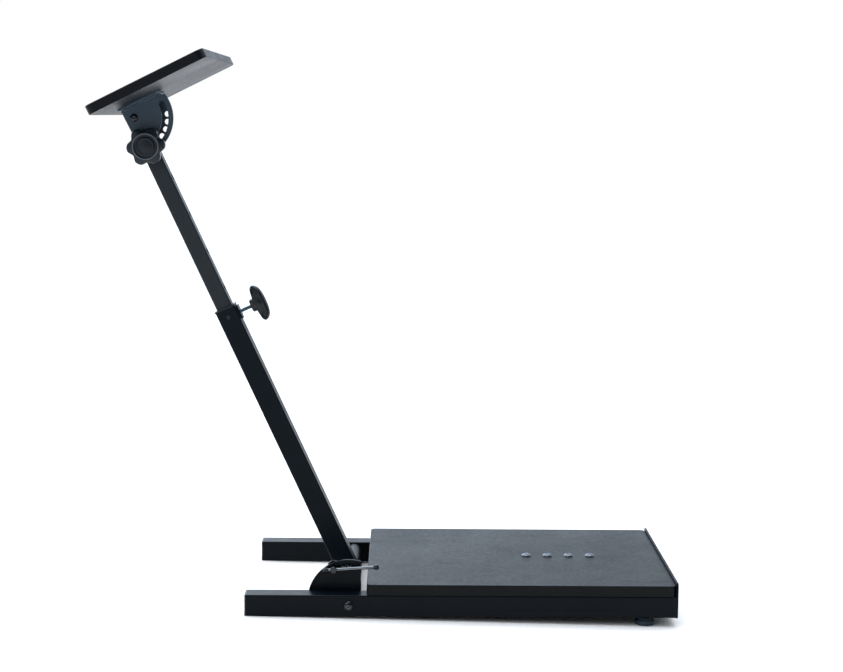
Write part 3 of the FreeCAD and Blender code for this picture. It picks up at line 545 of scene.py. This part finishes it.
def wing_section(s):
    """One closed section of the wing knob across its long axis."""
    reach = abs(s)
    inner, crown, half = (between(table, reach) for table in (WING_INNER, WING_CROWN, WING_WIDTH))
    deep = crown - inner
    scale = deep / 19.3
    side = [(inner, 0.0), (inner, 0.50 * half), (inner + 0.3 * scale, 0.78 * half),
            (inner + 1.2 * scale, 0.95 * half)]
    face_start, face_end = inner + 2.2 * scale, crown - 5.6 * scale
    for k in range(15):
        side.append((face_start + (face_end - face_start) * k / 14, half))
    side += [(crown - 4.7 * scale, 1.03 * half), (crown - 4.0 * scale, 1.0 * half),
             (crown - 3.4 * scale, 0.92 * half), (crown - 1.5 * scale, 0.84 * half),
             (crown - 0.4 * scale, 0.62 * half)]
    groove = 1.0 if reach < 12.5 else 0.0
    side += [(crown - (0.1 + 0.2 * groove) * scale, 0.34 * half), (crown - 1.3 * groove, 0.28 * half),
             (crown - 1.3 * groove, 0.0)]
    ring = []
    for n, y in side:
        ring.append((n, -y + wing_relief(n, s, y, half), s))
    for n, y in reversed(side[1:-1]):
        ring.append((n, y - wing_relief(n, s, y, half), s))
    return ring


def wing_relief(n, s, y, half):
    """Depth of the pockets in the wing's flat sides, minus its raised middle."""
    if y < 0.93 * half:
        return 0.0
    depth = 0.0
    pocket = math.hypot((n - 51.6) / 4.3, (abs(s) - 19.4) / 5.2)
    if pocket < 1.0:
        depth += 2.2 * min(1.0, (1.0 - pocket) / 0.30)
    collar = math.hypot((n - 44.5) / 10.5, s / 9.0)
    if collar < 1.0:
        depth -= 1.4 * min(1.0, (1.0 - collar) / 0.18)
    return depth


def wing_knob():
    stations = sorted({round(WING_HALF * math.sin(math.pi * k / 96), 3) for k in range(-48, 49)})
    skin = Skin()
    skin.loft([wing_section(s) for s in stations])
    hub = turned([(9.2, 37.7), (10.3, 38.7), (10.3, 42.3), (11.2, 45.0), (7.0, 47.0)], 0.5, 64)
    skin.add(hub, TO_N)
    return skin


TO_N = Matrix.Rotation(math.radians(90), 4, "Y")
TO_NEAR = Matrix.Rotation(math.radians(90), 4, "X")


# -------------------------------------------------------------- screws
def hexagon_ring(half_flats, z, count=96):
    ring = []
    for k in range(count):
        turn = 2 * math.pi * k / count
        from_flat = (math.degrees(turn) + 30.0) % 60.0 - 30.0
        r = half_flats / math.cos(math.radians(from_flat))
        ring.append((r * math.cos(turn), r * math.sin(turn), z))
    return ring


def cross_ring(length, half_width, z, count=96):
    ring = []
    for k in range(count):
        turn = 2 * math.pi * (k + 0.5) / count
        from_arm = abs((math.degrees(turn) + 45.0) % 90.0 - 45.0)
        lean = math.radians(max(from_arm, 0.5))
        r = min(length / math.cos(lean), half_width / math.sin(lean))
        ring.append((r * math.cos(turn), r * math.sin(turn), z))
    return ring


def button_head(radius, height, recess, depth):
    """A button head on z = 0: rolled rim, dome, and a recess drawn by a ring maker."""
    rim = [(radius - 0.5, 0.0), (radius, 0.35), (radius, 0.9), (radius - 0.35, 1.35)]
    rings = [circle(r, z, 96) for r, z in rim]
    rise = height - 1.35
    for k in range(1, 9):
        turn = math.radians(8 + 68 * k / 8)
        rings.append(circle((radius - 0.35) * math.cos(turn), 1.35 + rise * math.sin(turn), 96))
    lip = rings[-1][0][2]
    floor = height - depth
    rings += [recess(1.06, lip + 0.02), recess(1.0, lip - 0.25)]
    rings += [recess(0.92, floor), recess(0.3, floor - 0.5)]
    skin = Skin()
    skin.loft(rings)
    return skin


def screw(head_r, head_h, recess, depth, shank_r, pitch, length, threaded):
    skin = button_head(head_r, head_h, recess, depth)
    plain_end = -length + threaded
    skin.loft([circle(shank_r - 0.05, z, 28) for z in (0.2, plain_end)])
    skin.add(thread(shank_r, pitch, -length, plain_end + 0.3), Matrix.Identity(4))
    return skin


def board_screw():
    return screw(7.4, 3.6, lambda share, z: cross_ring(3.9 * share, 1.15 * share, z),
                 2.2, 4.0, 1.25, 29.5, 11.0)


def pivot_bolt():
    return screw(7.3, 4.4, lambda share, z: hexagon_ring(2.5 * share, z), 2.6, 4.0, 1.25, 58.0, 20.0)


def head_bolt():
    return screw(6.0, 3.4, lambda share, z: hexagon_ring(2.0 * share, z), 1.9, 3.0, 1.0, 38.3, 9.0)


def ball_end():
    """A ball with a turned collar towards the bar and a small slotted flat outside."""
    return turned([(2.42, -4.5), (3.0, -4.4), (3.1, -3.4), (3.6, -2.3), (4.1, -1.0), (4.2, 0.1), (3.9, 1.6),
                   (3.2, 2.8), (2.2, 3.65), (1.9, 3.9), (1.2, 3.9), (0.9, 3.2), (0.02, 3.1)], 0.3, 40)


def foot_pad():
    """A moulded foot: wide sole with a rolled edge, a waist groove and a narrow neck."""
    return turned([(0.02, -12.6), (9.5, -12.6), (10.2, -13.0), (13.4, -13.0), (14.9, -11.8), (15.0, -10.0),
                   (14.5, -8.6), (14.7, -8.0), (14.2, -6.6), (12.6, -5.3), (11.0, -4.9), (10.7, -2.4),
                   (9.8, -2.0), (5.2, -2.0), (4.9, -2.8), (4.05, -2.9)], 0.8, 72)


def arc_points(radius, start, end, y, count=24):
    turns = [math.radians(start + (end - start) * k / count) for k in range(count + 1)]
    return [Vector((radius * math.cos(turn), y, radius * math.sin(turn))) for turn in turns]


def joined(skins):
    whole = Skin()
    for skin in skins:
        whole.add(skin, Matrix.Identity(4))
    return whole


# -------------------------------------------------------------- placing
BOARD_T = 16.5
FOOT_X = 596.5
CHEEK_OUT = 15.8
BOARD_SCREW_FIRST = 430
BOARD_SCREW_PITCH = 33.4
BOARD_SCREW_COUNT = 4
LOCK_REACH = 54
BAR_RISE = math.radians(4.0)
BAR_END = 64
BAR_START = -12
WELD_TOP = 31.0
BOSS_WELD_R = 11.6
knob_n, knob_s = knob_place()
PLASTIC, ZINC, SCREW, RUBBER = (LOOKS[slot] for slot in ("knob_black", "zinc", "black_screw", "foot_rubber"))
COAT = LOOKS["powder_black"]

KNOB_PLACE = MAST @ Matrix.Translation((knob_n, KNOB_SEAT_Y, knob_s)) @ TO_NEAR
piece("star_knob_moulded", star_knob(), KNOB_PLACE, "clamp_knob", ["star_knob"],
      knob_plastic("stand_knob_plastic", KNOB_PLACE @ Vector((0, 0, 25.5))))
WING_PLACE = MAST @ Matrix.Translation((0, MID_Y, CLAMP_S))
piece("wing_knob_moulded", wing_knob(), WING_PLACE, "wing_screw", ["wing_knob"], PLASTIC, 40.0)
piece("wing_stud_threaded", thread(3.0, 1.0, 12.8, 39.6), WING_PLACE @ TO_N,
      "wing_screw", ["wing_stud"], ZINC)

screws = Skin()
for k in range(BOARD_SCREW_COUNT):
    screw_x = BOARD_SCREW_FIRST + BOARD_SCREW_PITCH * k
    screws.add(board_screw(), Matrix.Translation((screw_x, MID_Y, TUBE + BOARD_T))
               @ Matrix.Rotation(math.radians(17 + 31 * k), 4, "Z"))
piece("board_screws_recessed", screws, BASE, "base_frame", ["board_screws"], BRIGHT_SCREW)

bolts = Skin()
bolts.add(pivot_bolt(), Matrix.Translation((PIVOT_X, 0, PIVOT_Z)) @ TO_NEAR)
bolts.add(pivot_bolt(), Matrix.Translation((PIVOT_X, BASE_WIDTH, PIVOT_Z)) @ TO_NEAR.inverted())
piece("pivot_bolts_socket", bolts, BASE, "base_frame", ["pivot_bolts"], SCREW)
piece("head_pivot_screw", head_bolt(),
      MAST @ Matrix.Translation((0, MID_Y - CHEEK_OUT - 0.1, HEAD_S)) @ TO_NEAR,
      "mast_upper", ["head_pivot_bolt"], SCREW)

LOCK = Vector((PIVOT_X - LOCK_REACH * math.sin(MAST_LEAN), TUBE - 9.0,
               PIVOT_Z + LOCK_REACH * math.cos(MAST_LEAN)))
ALONG_BAR = Matrix.Translation(LOCK) @ Matrix.Rotation(-BAR_RISE, 4, "Y") @ TO_N
balls = Skin()
balls.add(ball_end(), ALONG_BAR @ Matrix.Translation((0, 0, BAR_END)))
balls.add(ball_end(), ALONG_BAR @ Matrix.Translation((0, 0, BAR_START)) @ Matrix.Rotation(math.pi, 4, "X"))
piece("tommy_bar_ball_ends", balls, BASE, "tommy_bar_body", ["tommy_bar_balls"], SCREW)

for side, y in (("near", TUBE / 2), ("far", BASE_WIDTH - TUBE / 2)):
    place = BASE @ Matrix.Translation((FOOT_X, y, 0))
    piece("foot_" + side + "_moulded_pad", foot_pad(), place, "foot_" + side, ["foot_" + side + "_pad"],
          RUBBER)
    piece("foot_" + side + "_threaded_stud", thread(4.0, 1.25, -8.8, 24.0), place, "foot_" + side,
          ["foot_" + side + "_stud"], ZINC)

base_welds = [weld([(x, TUBE + 4.0, WELD_TOP - 0.4), (x + 17, TUBE + 4.0, WELD_TOP - 0.4)], 1.5)
              for x in (104, 148)]
base_welds += [weld([(x, y, 8.5), (x, y, WELD_TOP)], 1.4)
               for x in (204.4, 230.6, 579.4, 605.6) for y in (TUBE + 0.6, BASE_WIDTH - TUBE - 0.6)]
piece("base_welds", joined(base_welds), BASE, "base_frame", [], COAT)
mast_welds = [weld(arc_points(14.4, -6, 186, y), 1.5) for y in (MID_Y - 16.2, MID_Y + 16.2)]
mast_welds.append(weld([(16.2, MID_Y + BOSS_WELD_R * math.cos(t), CLAMP_S + BOSS_WELD_R * math.sin(t))
                        for t in (math.pi + math.pi * k / 16 for k in range(17))], 0.9))
piece("mast_welds", joined(mast_welds), MAST, "mast_lower", [], MAST_COAT_PAINTED_LIGHT)
head_welds = [weld([(a, MID_Y + side * (CHEEK_OUT + 0.3), 15.7) for a in (-11, 47)], 1.6)
              for side in (-1, 1)]
piece("head_welds", joined(head_welds), HEAD, "tilt_head", [], HEAD_COAT_PAINTED_LIGHT)


# ------------------------------------------------------------------ stage
def pale_floor():
    mesh = bpy.data.meshes.new("studio_floor")
    reach = 30.0
    corners = [(-reach, -reach, 0), (reach, -reach, 0), (reach, reach, 0), (-reach, reach, 0)]
    mesh.from_pydata(corners, [], [(0, 1, 2, 3)])
    floor = bpy.data.objects.new("studio_floor", mesh)
    bpy.context.collection.objects.link(floor)
    tree = Tree("studio_floor")
    colour = tree.mix(tree.noise(1.3, 3, 0.5), (0.96, 0.88, 0.82, 1), (0.98, 0.91, 0.85, 1))
    gloss = tree.ranged(tree.noise(6, 3, 0.5), 0.3, 0.7, 0.55, 0.65)
    normal = tree.bump(tree.noise(160, 2, 0.5), 0.03, 0.0005)
    floor.data.materials.append(tree.finish(colour, gloss, normal))


def soft_light(name, position, target, size, watts):
    light = bpy.data.lights.new(name, "AREA")
    light.shape = "RECTANGLE"
    light.size, light.size_y = size
    light.energy = watts
    light.color = (0.80, 0.90, 1.0)
    lamp = bpy.data.objects.new(name, light)
    bpy.context.collection.objects.link(lamp)
    lamp.location = position
    aim = Vector(target) - Vector(position)
    lamp.rotation_euler = aim.to_track_quat("-Z", "Y").to_euler()


def studio_world():
    """White studio: bright behind and above, dim on the camera's side."""
    world = bpy.data.worlds.new("studio")
    bpy.context.scene.world = world
    world.use_nodes = True
    nodes, links = world.node_tree.nodes, world.node_tree.links
    nodes.clear()
    place = nodes.new("ShaderNodeTexCoord")
    along = nodes.new("ShaderNodeVectorMath")
    along.operation = "DOT_PRODUCT"
    along.inputs[1].default_value = (0.12, 1.0, 0.75)
    links.new(place.outputs["Generated"], along.inputs[0])
    shade = nodes.new("ShaderNodeMapRange")
    shade.interpolation_type = "SMOOTHSTEP"
    shade.inputs["From Min"].default_value = -0.5
    shade.inputs["From Max"].default_value = 0.75
    shade.inputs["To Min"].default_value = 0.32
    shade.inputs["To Max"].default_value = 2.1
    links.new(along.outputs["Value"], shade.inputs["Value"])
    sideways = nodes.new("ShaderNodeSeparateXYZ")
    links.new(place.outputs["Generated"], sideways.inputs["Vector"])
    fall = nodes.new("ShaderNodeMapRange")
    fall.interpolation_type = "SMOOTHSTEP"
    fall.inputs["From Min"].default_value = -0.45
    fall.inputs["From Max"].default_value = 0.45
    fall.inputs["To Min"].default_value = 1.55
    fall.inputs["To Max"].default_value = 0.40
    links.new(sideways.outputs["X"], fall.inputs["Value"])
    strength = nodes.new("ShaderNodeMath")
    strength.operation = "MULTIPLY"
    links.new(shade.outputs["Result"], strength.inputs[0])
    links.new(fall.outputs["Result"], strength.inputs[1])
    around = nodes.new("ShaderNodeBackground")
    around.inputs["Color"].default_value = (0.78, 0.88, 1.0, 1)
    links.new(strength.outputs["Value"], around.inputs["Strength"])
    plain = nodes.new("ShaderNodeBackground")
    plain.inputs["Color"].default_value = (1, 1, 1, 1)
    seen = nodes.new("ShaderNodeLightPath")
    choose = nodes.new("ShaderNodeMixShader")
    links.new(seen.outputs["Is Camera Ray"], choose.inputs["Fac"])
    links.new(around.outputs["Background"], choose.inputs[1])
    links.new(plain.outputs["Background"], choose.inputs[2])
    output = nodes.new("ShaderNodeOutputWorld")
    links.new(choose.outputs["Shader"], output.inputs["Surface"])


def add_camera():
    pitch, yaw, roll = math.radians(7.29), math.radians(0.646), math.radians(0.482)
    ahead = Vector((math.sin(yaw) * math.cos(pitch), math.cos(yaw) * math.cos(pitch), -math.sin(pitch)))
    level = Vector((math.cos(yaw), -math.sin(yaw), 0))
    above = level.cross(ahead)
    right = level * math.cos(roll) + above * math.sin(roll)
    top = above * math.cos(roll) - level * math.sin(roll)
    turn = Matrix((right, top, -ahead)).transposed().to_4x4()
    camera = bpy.data.objects.new("camera", bpy.data.cameras.new("camera"))
    bpy.context.collection.objects.link(camera)
    camera.matrix_world = Matrix.Translation(BASE @ Vector((230.9, -2512.1, 741.8))) @ TIP @ turn
    camera.data.sensor_width = 36.0
    camera.data.lens = 74.42
    camera.data.clip_end = 100.0
    bpy.context.scene.camera = camera


pale_floor()
studio_world()
soft_light("soft_top", (0.4, 0.4, 2.8), (0, 0, 0.3), (3.0, 3.0), 60)
soft_light("soft_right", (2.6, 1.2, 1.6), (0, 0, 0.4), (1.6, 1.8), 12)
soft_light("soft_front", (-1.3, -2.3, 1.7), (-0.35, 0, 0.75), (1.2, 1.2), 14)
add_camera()
bpy.context.scene.view_settings.view_transform = "Standard"
